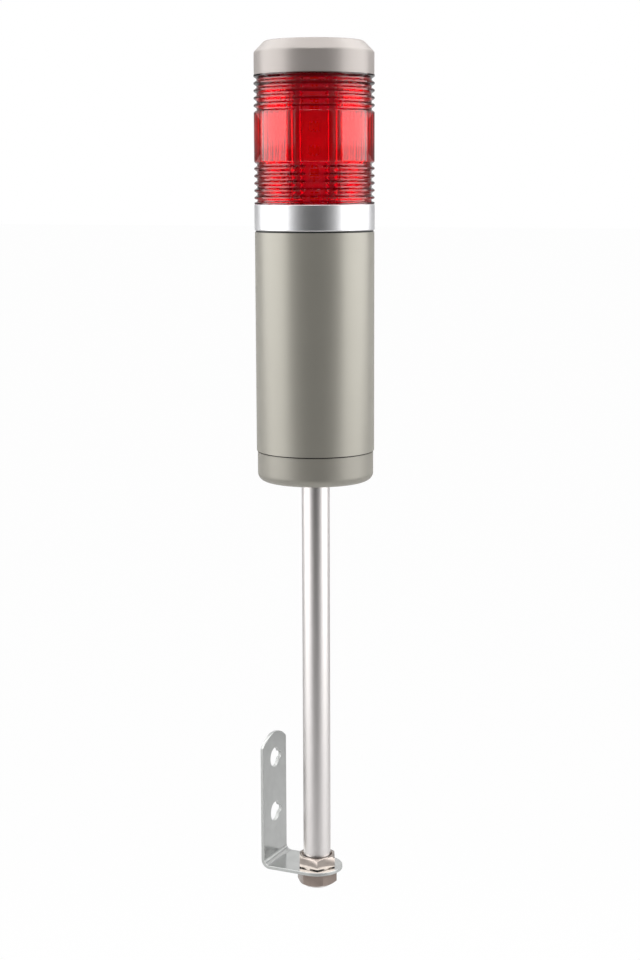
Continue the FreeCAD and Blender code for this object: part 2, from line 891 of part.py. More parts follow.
def cap_seal():
    return tube(neck_r, neck_r - lens_skirt_wall, neck_top, cap_ledge)


stand_pieces = [bracket, lower_bracket_nut, upper_bracket_nut, pole, pole_lock_washer, pole_lock_nut]
lamp_pieces = [
    base_cup, base_screws, base_seal, housing, ring_seal, driver_board, board_capacitors,
    board_coil, board_chips, terminal_block, terminal_screws, contact_block, contact_pins,
    trim_ring, lamp_base, lamp_base_screws, led_post, post_screws, led_boards, leds,
    lens_seal, red_lens, cap_seal, top_cap,
]

os.makedirs("parts", exist_ok=True)
for piece in stand_pieces + lamp_pieces:
    shape = piece()
    if piece in lamp_pieces:
        shape = turn(shape, lamp_turn)
    shape.exportStep("parts/%s.step" % piece.__name__)
    print("%-20s %3d solids %10.1f mm3 %s" % (
        piece.__name__, len(shape.Solids), shape.Volume, "valid" if shape.isValid() else "NOT VALID"
    ))
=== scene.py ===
# %% [markdown]
# A red stack light on a slim pole, held by a small L bracket.
# The measured solids come in as a fixed frame, and everything below dresses them:
# finishes for each piece, and finer copies of the pieces that need more shape
# than a plain solid carries, such as the ribbed lens.

import json
import math

import bmesh
import bpy
from mathutils import Matrix, Vector


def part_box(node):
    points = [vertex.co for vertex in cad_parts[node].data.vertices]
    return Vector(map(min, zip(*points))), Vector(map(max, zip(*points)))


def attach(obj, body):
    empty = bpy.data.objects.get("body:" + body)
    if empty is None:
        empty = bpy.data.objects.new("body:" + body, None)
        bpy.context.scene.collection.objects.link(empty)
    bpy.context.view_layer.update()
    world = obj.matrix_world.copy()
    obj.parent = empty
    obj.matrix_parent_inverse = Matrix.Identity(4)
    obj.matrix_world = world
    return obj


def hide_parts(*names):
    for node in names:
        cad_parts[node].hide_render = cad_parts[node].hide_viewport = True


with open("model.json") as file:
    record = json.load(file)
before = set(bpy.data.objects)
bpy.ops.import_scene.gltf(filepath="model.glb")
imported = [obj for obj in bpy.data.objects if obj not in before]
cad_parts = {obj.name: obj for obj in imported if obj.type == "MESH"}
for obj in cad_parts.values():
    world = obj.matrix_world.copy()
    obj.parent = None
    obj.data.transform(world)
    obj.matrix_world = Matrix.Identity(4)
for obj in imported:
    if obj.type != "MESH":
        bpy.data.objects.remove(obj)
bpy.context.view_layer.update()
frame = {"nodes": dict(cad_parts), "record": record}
nodes = frame["nodes"]

# %% [markdown]
# The camera stands level with the lens's lower ribs and looks a little down, so the cap is
# seen from just below and the bracket's foot from above. It also stands quite near, and the
# line of sight changes by thirty degrees from the picture's top to its bottom.
# The bracket points away to the left, so the camera is turned round the pole to match.

# %% Camera
camera_turn = math.radians(-64.5)     # round the pole, from the bracket's front
camera_distance = 0.7606              # from the pole's axis
camera_height = 0.3057
camera_pitch = math.radians(9.29)     # downwards
aim_aside = math.radians(0.141)       # the pole stands a little left of the middle
camera_roll = math.radians(-0.20)
picture_height = 960                  # pixels
focal_pixels = 1801.8
sensor_width = 36.0                   # millimetres


def add_camera():
    """The photograph's own view, from sizes measured along the pole."""
    data = bpy.data.cameras.new("photo_view")
    camera = bpy.data.objects.new("photo_view", data)
    bpy.context.scene.collection.objects.link(camera)
    data.sensor_width = sensor_width
    data.lens = focal_pixels / picture_height * sensor_width
    data.clip_start = 0.05
    camera.location = (
        camera_distance * math.sin(camera_turn),
        -camera_distance * math.cos(camera_turn),
        camera_height,
    )
    heading = Matrix.Rotation(camera_turn - aim_aside, 3, "Z")
    tip = Matrix.Rotation(math.pi / 2 - camera_pitch, 3, "X")
    roll = Matrix.Rotation(camera_roll, 3, "Z")
    camera.rotation_euler = (heading @ tip @ roll).to_euler()
    bpy.context.scene.camera = camera
    return camera


camera = add_camera()
print("lens %.1f mm" % camera.data.lens)

# %% [markdown]
# A tall cylinder shows the room as upright stripes. The picture has a broad bright stripe at
# each side and a dark one in the middle, so there is one large soft lamp on each side and
# nothing bright behind the camera. Below the body the lamps stand a little further forward
# and are weaker, because the pole's stripes are. A lamp overhead lights the cap's bevel, two
# high at the back brighten its sides, and one high in front reaches the post inside the lens.
# Each is an area light. Its place is given as a studio would set it out: by its angle round
# the pole from the camera, its distance and its height, in degrees and metres.

# %% Lamps
softbox_distance = 1.0
lens_middle = Vector((0, 0, 0.325))
sides = ((-1, "left"), (1, "right"))


def round_the_pole(degrees, distance, height):
    """A place seen from above: degrees from the camera, positive to the camera's right."""
    angle = camera_turn - math.pi / 2 + math.radians(degrees)
    return Vector((distance * math.cos(angle), distance * math.sin(angle), height))


def add_lamp(name, place, aim, width, height, radiance):
    """A rectangular area lamp at a place, turned towards a point, with a given brightness."""
    data = bpy.data.lights.new(name, "AREA")
    data.shape = "RECTANGLE"
    data.size = width
    data.size_y = height
    data.energy = radiance * 4 * width * height
    lamp = bpy.data.objects.new(name, data)
    bpy.context.scene.collection.objects.link(lamp)
    lamp.location = place
    lamp.rotation_euler = (aim - place).to_track_quat("-Z", "Y").to_euler()
    print(name, "%.2f x %.2f m" % (width, height))


def add_softbox(name, degrees, low, high, spread_degrees, radiance):
    """An upright lamp beside the pole, as wide as an angle seen from it."""
    middle = (low + high) / 2
    width = 2 * softbox_distance * math.tan(math.radians(spread_degrees / 2))
    place = round_the_pole(degrees, softbox_distance, middle)
    add_lamp(name, place, Vector((0, 0, middle)), width, high - low, radiance)


for side, name in sides:
    add_softbox(name + "_softbox", side * 86, low=0.12, high=1.6, spread_degrees=64, radiance=1.7)
    add_softbox(
        name + "_low_softbox", side * 73, low=-0.17, high=0.12, spread_degrees=62, radiance=1.25,
    )
add_lamp(
    "overhead", round_the_pole(0, distance=0.1, height=1.5), round_the_pole(0, 0.1, 0),
    width=2.0, height=1.8, radiance=1.4,
)
add_lamp(
    "front_fill", round_the_pole(0, distance=0.85, height=1.35), lens_middle,
    width=1.0, height=0.5, radiance=1.2,
)
for side, name in sides:
    add_lamp(
        name + "_back", round_the_pole(side * 130, distance=0.8, height=1.1), lens_middle,
        width=0.8, height=0.6, radiance=1.5,
    )

# %% [markdown]
# The background is plain white. The world is white where the camera looks at it, and a soft
# dim grey where it lights the piece, so the white never washes out the shading. Reflections
# and what is seen through the lens get the white too, but only near the horizon: a studio is
# darker overhead and underfoot, which keeps the sloping sides of the lens's ribs dark.

# %% World
world_fill = 0.03         # brightness that lights the piece
lens_glow = 0.84          # share of the white that is seen through the lens
overhead_dim = 0.08       # white that is left overhead and underfoot
horizon_band = 0.30       # sine of the angle over the horizon where the white begins to fade


def add_math(tree, operation, first, second=0.0):
    """One step of arithmetic on two sockets or plain numbers."""
    step = tree.nodes.new("ShaderNodeMath")
    step.operation = operation
    for socket, value in zip(step.inputs, (first, second)):
        if isinstance(value, bpy.types.NodeSocket):
            tree.links.new(value, socket)
        else:
            socket.default_value = value
    return step.outputs[0]


def add_ramp(tree, value, low, high):
    """A number that goes from low to high while a socket's value goes from 0 to 1."""
    ramp = tree.nodes.new("ShaderNodeMapRange")
    ramp.inputs["To Min"].default_value = low
    ramp.inputs["To Max"].default_value = high
    tree.links.new(value, ramp.inputs["Value"])
    return ramp


def add_world():
    """White to look at, white near the horizon for reflections, dim to light with."""
    world = bpy.data.worlds.new("studio")
    bpy.context.scene.world = world
    world.use_nodes = True
    tree = world.node_tree
    tree.nodes.clear()
    new = tree.nodes.new
    link = tree.links.new
    path = new("ShaderNodeLightPath")
    place = new("ShaderNodeTexCoord")
    split = new("ShaderNodeSeparateXYZ")
    link(place.outputs["Generated"], split.inputs[0])
    level = add_math(tree, "ABSOLUTE", split.outputs["Z"])
    horizon = add_ramp(tree, level, 1.0, overhead_dim)
    horizon.interpolation_type = "SMOOTHSTEP"
    horizon.inputs["From Min"].default_value = horizon_band
    horizon.inputs["From Max"].default_value = 2 * horizon_band
    seen_through = path.outputs["Is Transmission Ray"]
    through = add_ramp(tree, seen_through, 1.0, lens_glow)
    either = add_math(tree, "MAXIMUM", path.outputs["Is Glossy Ray"], seen_through)
    indirect = new("ShaderNodeMix")
    indirect.inputs["A"].default_value = world_fill
    link(add_math(tree, "MULTIPLY", either, through.outputs["Result"]), indirect.inputs["Factor"])
    link(horizon.outputs["Result"], indirect.inputs["B"])
    strength = new("ShaderNodeMix")
    strength.inputs["B"].default_value = 1.0
    link(path.outputs["Is Camera Ray"], strength.inputs["Factor"])
    link(indirect.outputs["Result"], strength.inputs["A"])
    glow = new("ShaderNodeBackground")
    glow.inputs["Color"].default_value = (1, 1, 1, 1)
    link(strength.outputs["Result"], glow.inputs["Strength"])
    link(glow.outputs[0], new("ShaderNodeOutputWorld").inputs["Surface"])


add_world()
bpy.context.scene.view_settings.view_transform = "Standard"
print("world ready")

# %% [markdown]
# The floor is pale and plain. It lies well below the pole's end, because the light hangs from
# its bracket, and it glows where the camera, a mirror or the lens looks at it, as the world does.

# %% Floor
floor_drop = 0.45         # below the pole's end
floor_width = 60
floor_seen = 0.985        # share of white for the camera
floor_mirrored = 0.42     # share of white in mirrors
underfoot_dim = 0.25      # brightness that is seen through the lens


def plain_material(name, grey, roughness):
    """A matt surface for the studio's own things."""
    material = bpy.data.materials.new(name)
    material.use_nodes = True
    shader = material.node_tree.nodes["Principled BSDF"]
    shader.inputs["Base Color"].default_value = (grey, grey, grey, 1)
    shader.inputs["Roughness"].default_value = roughness
    return material


def deselect_all():
    """Nothing selected and nothing active, so that an operator can't touch the frame."""
    if bpy.context.object and bpy.context.object.mode != "OBJECT":
        bpy.ops.object.mode_set(mode="OBJECT")
    bpy.ops.object.select_all(action="DESELECT")
    bpy.context.view_layer.objects.active = None


def add_floor():
    """A wide pale floor, which glows white to the eye and dimmer to mirrors and the lens."""
    deselect_all()
    bpy.ops.mesh.primitive_plane_add(size=floor_width, location=(0, 0, -floor_drop))
    floor = bpy.context.object
    floor.name = "studio_floor"
    material = plain_material("pale_floor", grey=0.86, roughness=0.9)
    tree = material.node_tree
    path = tree.nodes.new("ShaderNodeLightPath")
    glow = tree.nodes.new("ShaderNodeEmission")
    seen_through = path.outputs["Is Transmission Ray"]
    shade = add_ramp(tree, seen_through, 1.0, underfoot_dim)
    tree.links.new(shade.outputs["Result"], glow.inputs["Strength"])
    seen = add_math(tree, "MULTIPLY", path.outputs["Is Camera Ray"], floor_seen)
    mirrored = add_math(tree, "MULTIPLY", path.outputs["Is Glossy Ray"], floor_mirrored)
    share = add_math(tree, "MAXIMUM", add_math(tree, "MAXIMUM", seen, mirrored), seen_through)
    mix = tree.nodes.new("ShaderNodeMixShader")
    tree.links.new(share, mix.inputs["Fac"])
    tree.links.new(tree.nodes["Principled BSDF"].outputs[0], mix.inputs[1])
    tree.links.new(glow.outputs[0], mix.inputs[2])
    tree.links.new(mix.outputs[0], tree.nodes["Material Output"].inputs["Surface"])
    floor.data.materials.append(material)


add_floor()
print("floor", floor_drop, "m below the pole's end")

# %% [markdown]
# A dark card stands behind the camera to give the metal and the lens their dark middle
# stripe. It is narrower beside the pole, whose stripe is. Greyer wings soften its edges, and
# flags at the back draw the outlines: grey ones for the body, darker ones for the lens.
# The cards are only there to be mirrored. The camera doesn't see them, they cast no shadow,
# and what is seen through the lens isn't darkened by them.

# %% Cards and flags
card_distance = 1.0       # from the pole's axis
flag_distance = 1.1
card_foot = -0.28
card_waist = 0.06         # the card is narrower below
wing_waist = 0.27         # the wings are wider and darker below
card_top = 1.32
lens_flag_foot = 0.285
lens_flag_top = 0.42
points_per_turn = 360


def add_card(name, start_degrees, end_degrees, low, high, radius, grey):
    """A curved card round the pole between two angles and two heights, only for mirrors."""
    deselect_all()
    bpy.ops.mesh.primitive_circle_add(
        vertices=points_per_turn, radius=radius, location=(0, 0, low),
    )
    card = bpy.context.object
    card.name = name
    middle = round_the_pole((start_degrees + end_degrees) / 2, 1, 0)
    reach = math.cos(math.radians(abs(end_degrees - start_degrees) / 2))
    bpy.ops.object.mode_set(mode="EDIT")
    bpy.ops.mesh.select_all(action="DESELECT")
    mesh = bmesh.from_edit_mesh(card.data)
    for vertex in mesh.verts:
        away = Vector((vertex.co.x, vertex.co.y, 0)).normalized()
        vertex.select = away.dot(middle) < reach
    mesh.select_flush_mode()
    bmesh.update_edit_mesh(card.data)
    bpy.ops.mesh.delete(type="VERT")
    bpy.ops.mesh.select_all(action="SELECT")
    bpy.ops.mesh.extrude_region_move(TRANSFORM_OT_translate={"value": (0, 0, high - low)})
    bpy.ops.object.mode_set(mode="OBJECT")
    card.data.materials.append(plain_material(name, grey, roughness=1.0))
    card.visible_camera = False
    card.visible_transmission = False
    card.visible_shadow = False


add_card("camera_card", -36, 36, card_waist, card_top, card_distance, grey=0.02)
add_card("low_camera_card", -24, 24, card_foot, card_waist, card_distance, grey=0.02)
for side, name in sides:
    wing = sorted((side * 36.5, side * 48))
    low_wing = sorted((side * 36.5, side * 54))
    flag = sorted((side * 122, side * 178))
    add_card(name + "_wing", *wing, wing_waist, card_top, card_distance, grey=0.30)
    add_card(name + "_low_wing", *low_wing, card_waist, wing_waist, card_distance, grey=0.10)
    add_card(name + "_low_flag", *flag, card_foot, lens_flag_foot, flag_distance, grey=0.48)
    add_card(name + "_lens_flag", *flag, lens_flag_foot, lens_flag_top, flag_distance, grey=0.12)
    add_card(name + "_high_flag", *flag, lens_flag_top, card_top, flag_distance, grey=0.48)
print("cards stand", card_distance, "m from the pole, flags", flag_distance, "m")

# %% [markdown]
# Finishes. Moulded plastic is never quite smooth: it has a faint pebble and its gloss changes
# a little from place to place. Drawn tube has fine lines along its length, and plated sheet
# is cloudy. One shader group makes that kind of grain, and each finish asks for its own
# scale and strength. It reads Object coordinates, so the grain stays on the piece.

# %% Grain group
def build_grain_group():
    """Colour variation, roughness and height from two noises, stretched along Z."""
    group = bpy.data.node_groups.new("surface_grain", "ShaderNodeTree")
    interface = group.interface
    interface.new_socket("Color", in_out="INPUT", socket_type="NodeSocketColor")
    for name in (
        "Scale", "Stretch", "Cloud Scale", "Colour Change", "Roughness", "Roughness Change",
    ):
        interface.new_socket(name, in_out="INPUT", socket_type="NodeSocketFloat")
    interface.new_socket("Color", in_out="OUTPUT", socket_type="NodeSocketColor")
    interface.new_socket("Roughness", in_out="OUTPUT", socket_type="NodeSocketFloat")
    interface.new_socket("Height", in_out="OUTPUT", socket_type="NodeSocketFloat")
    new = group.nodes.new
    link = group.links.new
    given = new("NodeGroupInput")
    out = new("NodeGroupOutput")

    place = new("ShaderNodeTexCoord")
    squeeze = new("ShaderNodeCombineXYZ")
    squeeze.inputs["X"].default_value = 1.0
    squeeze.inputs["Y"].default_value = 1.0
    link(given.outputs["Stretch"], squeeze.inputs["Z"])
    stretched = new("ShaderNodeVectorMath")
    stretched.operation = "MULTIPLY"
    link(place.outputs["Object"], stretched.inputs[0])
    link(squeeze.outputs[0], stretched.inputs[1])

    fine = new("ShaderNodeTexNoise")
    fine.inputs["Detail"].default_value = 3.0
    link(stretched.outputs[0], fine.inputs["Vector"])
    link(given.outputs["Scale"], fine.inputs["Scale"])
    cloud = new("ShaderNodeTexNoise")
    cloud.inputs["Detail"].default_value = 2.0
    link(place.outputs["Object"], cloud.inputs["Vector"])
    link(given.outputs["Cloud Scale"], cloud.inputs["Scale"])

    change = add_math(
        group, "MULTIPLY", add_math(group, "SUBTRACT", cloud.outputs["Fac"], 0.5),
        given.outputs["Colour Change"],
    )
    tinted = new("ShaderNodeVectorMath")
    tinted.operation = "SCALE"
    link(given.outputs["Color"], tinted.inputs[0])
    link(add_math(group, "ADD", change, 1.0), tinted.inputs["Scale"])
    link(tinted.outputs[0], out.inputs["Color"])

    swing = add_math(
        group, "MULTIPLY", add_math(group, "SUBTRACT", fine.outputs["Fac"], 0.5),
        given.outputs["Roughness Change"],
    )
    link(add_math(group, "ADD", swing, given.outputs["Roughness"]), out.inputs["Roughness"])
    link(fine.outputs["Fac"], out.inputs["Height"])
    return group


grain_group = build_grain_group()
print("grain group ready")

# %% [markdown]
# Every opaque finish is then one call: a colour, how metallic it is, and its grain.
# The bump's distance is in metres, so a moulded pebble is ten or twenty microns high.

# %% Finishes
bump_strength = 0.4


def finish(name, colour, metallic=0.0, roughness=0.4, rough_change=0.06, scale=900.0,
           stretch=1.0, cloud=60.0, colour_change=0.05, bump=0.00002):
    """A Principled material with grain in its colour, roughness and surface."""
    material = bpy.data.materials.new(name)
    material.use_nodes = True
    tree = material.node_tree
    shader = tree.nodes["Principled BSDF"]
    shader.inputs["Metallic"].default_value = metallic
    grain = tree.nodes.new("ShaderNodeGroup")
    grain.node_tree = grain_group
    grain.inputs["Color"].default_value = (*colour, 1)
    grain.inputs["Scale"].default_value = scale
    grain.inputs["Stretch"].default_value = stretch
    grain.inputs["Cloud Scale"].default_value = cloud
    grain.inputs["Colour Change"].default_value = colour_change
    grain.inputs["Roughness"].default_value = roughness
    grain.inputs["Roughness Change"].default_value = rough_change
    relief = tree.nodes.new("ShaderNodeBump")
    relief.inputs["Strength"].default_value = bump_strength
    relief.inputs["Distance"].default_value = bump
    tree.links.new(grain.outputs["Color"], shader.inputs["Base Color"])
    tree.links.new(grain.outputs["Roughness"], shader.inputs["Roughness"])
    tree.links.new(grain.outputs["Height"], relief.inputs["Height"])
    tree.links.new(relief.outputs["Normal"], shader.inputs["Normal"])
    return material


cap_plastic = finish("cap_plastic", (0.385, 0.35, 0.33), metallic=0.32, roughness=0.36)
housing_plastic = finish("housing_plastic", (0.345, 0.33, 0.287), metallic=0.42, roughness=0.36)
base_plastic = finish("base_plastic", (0.315, 0.30, 0.262), metallic=0.38, roughness=0.40)
ring_silver = finish(
    "ring_silver", (0.74, 0.74, 0.75), metallic=1.0, roughness=0.38, rough_change=0.05,
    scale=700.0, stretch=6.0, colour_change=0.02, bump=0.00001,
)
pole_aluminium = finish(
    "pole_aluminium", (0.76, 0.73, 0.72), metallic=1.0, roughness=0.38, rough_change=0.10,
    scale=1600.0, stretch=0.03, colour_change=0.03, bump=0.00001,
)
zinc_plate = finish(
    "zinc_plate", (0.64, 0.65, 0.64), metallic=1.0, roughness=0.18, rough_change=0.14,
    scale=350.0, cloud=260.0, colour_change=0.16, bump=0.00002,
)
zinc_edge = finish(
    "zinc_edge", (0.52, 0.53, 0.52), metallic=0.8, roughness=0.45, rough_change=0.10,
    scale=900.0, cloud=300.0, colour_change=0.10, bump=0.00002,
)
hole_wall = finish(
    "hole_wall", (0.52, 0.53, 0.52), metallic=0.5, roughness=0.55, rough_change=0.10,
    scale=900.0, cloud=300.0, colour_change=0.15, bump=0.00002,
)
nut_nickel = finish(
    "nut_nickel", (0.50, 0.44, 0.40), metallic=1.0, roughness=0.18, rough_change=0.12,
    scale=600.0, cloud=450.0, colour_change=0.35, bump=0.00002,
)
# Painted shade: the same nickel as the upper nut, painted darker for the shade the lower nut hangs
# in under the bracket's foot.
nut_painted_shade = finish(
    "nut_painted_shade", (0.30, 0.245, 0.215), metallic=1.0, roughness=0.22, rough_change=0.12,
    scale=600.0, cloud=300.0, colour_change=0.25, bump=0.00002,
)
screw_steel = finish("screw_steel", (0.60, 0.60, 0.60), metallic=1.0, roughness=0.30)
seal_rubber = finish("seal_rubber", (0.02, 0.02, 0.02), roughness=0.7)
board_green = finish("board_green", (0.02, 0.13, 0.05), roughness=0.35)
part_black = finish("part_black", (0.02, 0.02, 0.02), roughness=0.45)
can_sleeve = finish("can_sleeve", (0.02, 0.02, 0.05), roughness=0.25)
terminal_green = finish("terminal_green", (0.03, 0.20, 0.08), roughness=0.45)
pin_brass = finish("pin_brass", (0.75, 0.56, 0.25), metallic=1.0, roughness=0.25)
inner_white = finish("inner_white", (0.62, 0.62, 0.60), roughness=0.30)
# Painted shade: the lamp base inside the lens is near black, standing for the shade in there.
inner_painted_shade = finish("inner_painted_shade", (0.12, 0.12, 0.12), roughness=0.45)
board_white = finish("board_white", (0.92, 0.92, 0.90), roughness=0.30)
led_amber = finish("led_amber", (0.80, 0.50, 0.08), roughness=0.2)
rail_tinned = finish("rail_tinned", (0.50, 0.49, 0.47), metallic=1.0, roughness=0.22)
print("opaque finishes ready")

# %% [markdown]
# The lens is clear red plastic. White light loses its green and blue on the way through, and
# a long way through the wall is a deeper red than a short one, which is what darkens the
# ribs' flanks and the rim. So the surface itself is colourless, and the colour is an
# absorption inside it: the density says how much one metre of plastic would take away.

# %% Red lens finish
lens_density = 1500.0     # per metre
lens_tint = (0.996, 0.012, 0.50, 1)
lens_index = 1.585        # of refraction


def lens_finish(name, roughness):
    """Polished transparent red, coloured by its thickness."""
    material = bpy.data.materials.new(name)
    material.use_nodes = True
    tree = material.node_tree
    shader = tree.nodes["Principled BSDF"]
    shader.inputs["Base Color"].default_value = (1, 1, 1, 1)
    shader.inputs["Roughness"].default_value = roughness
    shader.inputs["IOR"].default_value = lens_index
    shader.inputs["Transmission Weight"].default_value = 1.0
    inside = tree.nodes.new("ShaderNodeVolumeAbsorption")
    inside.inputs["Color"].default_value = lens_tint
    inside.inputs["Density"].default_value = lens_density
    tree.links.new(inside.outputs[0], tree.nodes["Material Output"].inputs["Volume"])
    return material


lens_red = lens_finish("lens_red", roughness=0.02)
print("lens finish ready")

# %% [markdown]
# The record says which finish each node of the frame has. Two nodes get their own: the lamp
# base is painted near black, a painted shade for the inside of the lens, and the base cup is a shade
# darker than the housing.

# %% Give each node its finish
finishes = {
    "cap_grey": cap_plastic, "lens_red": lens_red, "ring_silver": ring_silver,
    "seal_rubber": seal_rubber, "housing_grey": housing_plastic, "pole_satin": pole_aluminium,
    "zinc_plate": zinc_plate, "nut_nickel": nut_nickel, "screw_steel": screw_steel,
    "board_green": board_green, "can_sleeve": can_sleeve, "part_black": part_black,
    "terminal_green": terminal_green, "pin_brass": pin_brass, "inner_white": inner_white,
    "board_white": board_white, "led_amber": led_amber,
}
for part in frame["record"]["subparts"]:
    for slot in nodes[part["node"]].material_slots:
        slot.material = finishes[part["material_slot"]]
for name, other in (("lamp_base", inner_painted_shade), ("base_cup", base_plastic)):
    for slot in nodes[name].material_slots:
        slot.material = other
print("finishes on", len(nodes), "nodes")

# %% [markdown]
# The lens is one moulding, round about the pole's axis. Its radius and the heights of its
# foot and shoulder come from the frame, and the ribs are counted off from both ends, which
# leaves the smooth band between them. The lamp inside is turned to face the camera.

# %% Lens sizes
lens_segments = 192           # round the lens, four for each flute
lens_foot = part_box("trim_ring")[1][2]
lens_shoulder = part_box("top_cap")[0][2]
lens_low, lens_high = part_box("red_lens")
lens_r = max(math.hypot(point.co.x, point.co.y) for point in nodes["red_lens"].data.vertices)
wall_inner_r = 0.0216
skirt_r = 0.0232              # enters the silver ring
neck_r = 0.0231               # enters the cap
groove_depth = 0.0012
groove_width = 0.0023         # at its mouth
groove_floor = 0.0007         # flat part of a groove
rib_land = 0.0007             # flat part of a rib
ribs = 5                      # over the band, and as many under it
flange = 0.0006               # rim on the silver ring
foot_groove = 0.0015          # width of the groove over that rim
rib_soft = 0.00012            # rounding of a rib's corners
band_soft = 0.0004            # rounding of the band's corners
flute_depth = 0.00012
flutes_apart = 4              # segments from one flute to the next
flute_turn = math.radians(-0.75)
lamp_turn = math.radians(25.5)
same_point = 1e-6
rib_pitch = rib_land + groove_width
ribbed_height = ribs * rib_pitch
band_low = lens_foot + flange + foot_groove + ribbed_height
band_high = lens_shoulder - ribbed_height
print("lens band from %.4f to %.4f m" % (band_low, band_high))

# %% [markdown]
# The lens is drawn as a potter would turn it: a circle is extruded ring by ring up the
# outside, over the top and down the inside, and the last ring is merged with the first.
# Where an outline has a corner, a short curve of three steps takes the edge off it.

# %% Ring by ring
def start_ring(name, segments, radius, height):
    """A circle in edit mode, all of it selected. Gives its radius and height for draw_rings."""
    deselect_all()
    bpy.ops.mesh.primitive_circle_add(vertices=segments, radius=radius, location=(0, 0, height))
    bpy.ops.object.transform_apply(location=True, rotation=True, scale=True)
    bpy.context.object.name = name
    bpy.ops.object.mode_set(mode="EDIT")
    bpy.ops.mesh.select_all(action="SELECT")
    return [radius, height]


def draw_rings(here, outline):
    """Extrude the selected ring from here to each radius and height of an outline in turn."""
    for radius, height in outline:
        bpy.ops.mesh.extrude_region_move(TRANSFORM_OT_translate={"value": (0, 0, height - here[1])})
        factor = radius / here[0]
        if abs(factor - 1) > 1e-9:
            bpy.ops.transform.resize(value=(factor, factor, 1), center_override=(0, 0, height))
        here[0] = radius
        here[1] = height


def softened(outline, steps=3):
    """Round the corners of an outline of (radius, height, soft) points by each one's length."""
    points = []
    for i, (radius, height, soft) in enumerate(outline):
        corner = Vector((radius, height))
        if soft == 0 or i in (0, len(outline) - 1):
            points.append((radius, height))
            continue
        before = Vector(outline[i - 1][:2]) - corner
        after = Vector(outline[i + 1][:2]) - corner
        start = corner + before.normalized() * min(soft, before.length / 2)
        end = corner + after.normalized() * min(soft, after.length / 2)
        for step in range(steps + 1):
            share = step / steps
            point = start * (1 - share) ** 2 + corner * 2 * share * (1 - share) + end * share ** 2
            points.append((point.x, point.y))
    return points


def close_piece():
    """Merge the last ring with the first, face everything outwards and leave edit mode."""
    bpy.ops.mesh.select_all(action="SELECT")
    bpy.ops.mesh.remove_doubles(threshold=same_point)
    bpy.ops.mesh.normals_make_consistent(inside=False)
    bpy.ops.object.mode_set(mode="OBJECT")
    piece = bpy.context.object
    bpy.ops.object.shade_smooth_by_angle(angle=math.radians(35))
    return piece


print("ready to draw ring by ring")

# %% [markdown]
# Each rib is a narrow land between two sloping flanks, and each groove has a flat floor. The
# corners beside the smooth band are rounder than those of the ribs. Before the lens is
# closed, every fourth point of the inner wall behind the band is pushed out, which makes fine
# upright flutes. The lens is then turned a little, so they lie evenly to both sides of the camera.

# %% The ribbed lens
def groove(low, width, low_soft, high_soft):
    """The four corners of one groove with a flat floor, from its lower edge to its upper."""
    flank = (width - groove_floor) / 2
    floor_r = lens_r - groove_depth
    return [
        (lens_r, low, low_soft), (floor_r, low + flank, rib_soft),
        (floor_r, low + flank + groove_floor, rib_soft), (lens_r, low + width, high_soft),
    ]


def lens_outline():
    """Radius and height, up the outside, over the neck and down to the start."""
    outline = [(skirt_r, lens_low[2], 0), (skirt_r, lens_foot, 0), (lens_r, lens_foot, 0)]
    outline += groove(lens_foot + flange, foot_groove, rib_soft, rib_soft)
    low = lens_foot + flange + foot_groove + rib_land
    for i in range(ribs):
        top_soft = band_soft if i == ribs - 1 else rib_soft
        outline += groove(low + i * rib_pitch, groove_width, rib_soft, top_soft)
    for i in range(ribs):
        low_soft = rib_soft if i else band_soft
        outline += groove(band_high + i * rib_pitch, groove_width, low_soft, rib_soft)
    outline += [(lens_r, lens_shoulder, 0), (neck_r, lens_shoulder, 0), (neck_r, lens_high[2], 0)]
    outline += [(wall_inner_r, lens_high[2], 0), (wall_inner_r, band_high, 0)]
    outline += [(wall_inner_r, band_high - flute_depth, 0)]
    outline += [(wall_inner_r, band_low + flute_depth, 0), (wall_inner_r, band_low, 0)]
    outline += [(wall_inner_r, lens_low[2], 0)]
    return softened(outline)


def press_flutes(piece):
    """Push the inner wall's points outwards, all the way on every fourth and half on odd ones."""
    top = band_high - flute_depth
    bottom = band_low + flute_depth
    for share, wanted in ((0.5, (1, 3)), (1.0, (2,))):
        bpy.ops.mesh.select_all(action="DESELECT")
        mesh = bmesh.from_edit_mesh(piece.data)
        for vertex in mesh.verts:
            inner = math.hypot(vertex.co.x, vertex.co.y) < wall_inner_r + same_point
            level = min(abs(vertex.co.z - top), abs(vertex.co.z - bottom)) < same_point
            angle = math.atan2(vertex.co.y, vertex.co.x) / (2 * math.pi)
            place = round(angle * lens_segments) % flutes_apart
            vertex.select = inner and level and place in wanted
        mesh.select_flush_mode()
        bmesh.update_edit_mesh(piece.data)
        factor = 1 + share * flute_depth / wall_inner_r
        bpy.ops.transform.resize(value=(factor, factor, 1), center_override=(0, 0, 0))


here = start_ring("lens_body", lens_segments, wall_inner_r, lens_low[2])
draw_rings(here, lens_outline())
press_flutes(bpy.context.object)
lens_body = close_piece()
lens_body.data.transform(Matrix.Rotation(flute_turn, 4, "Z"))
lens_body.data.materials.append(lens_red)
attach(lens_body, "head")
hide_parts("red_lens")
print("lens:", len(lens_body.data.polygons), "faces")

# %% [markdown]
# Three lugs inside the skirt lock the lens on the lamp base when it is twisted. Each is a
# small rectangle on the skirt's wall, spun round the axis by the lug's own width.

# %% Bayonet lugs
lug_rise = 0.0015             # over the skirt's lower end
lug_low = lens_low[2] + lug_rise
lug_height = 0.0018
lug_inner_r = 0.0205
first_lug = lamp_turn + math.radians(30)
lug_width = math.radians(16)
lug_steps = 6
lug_count = 3


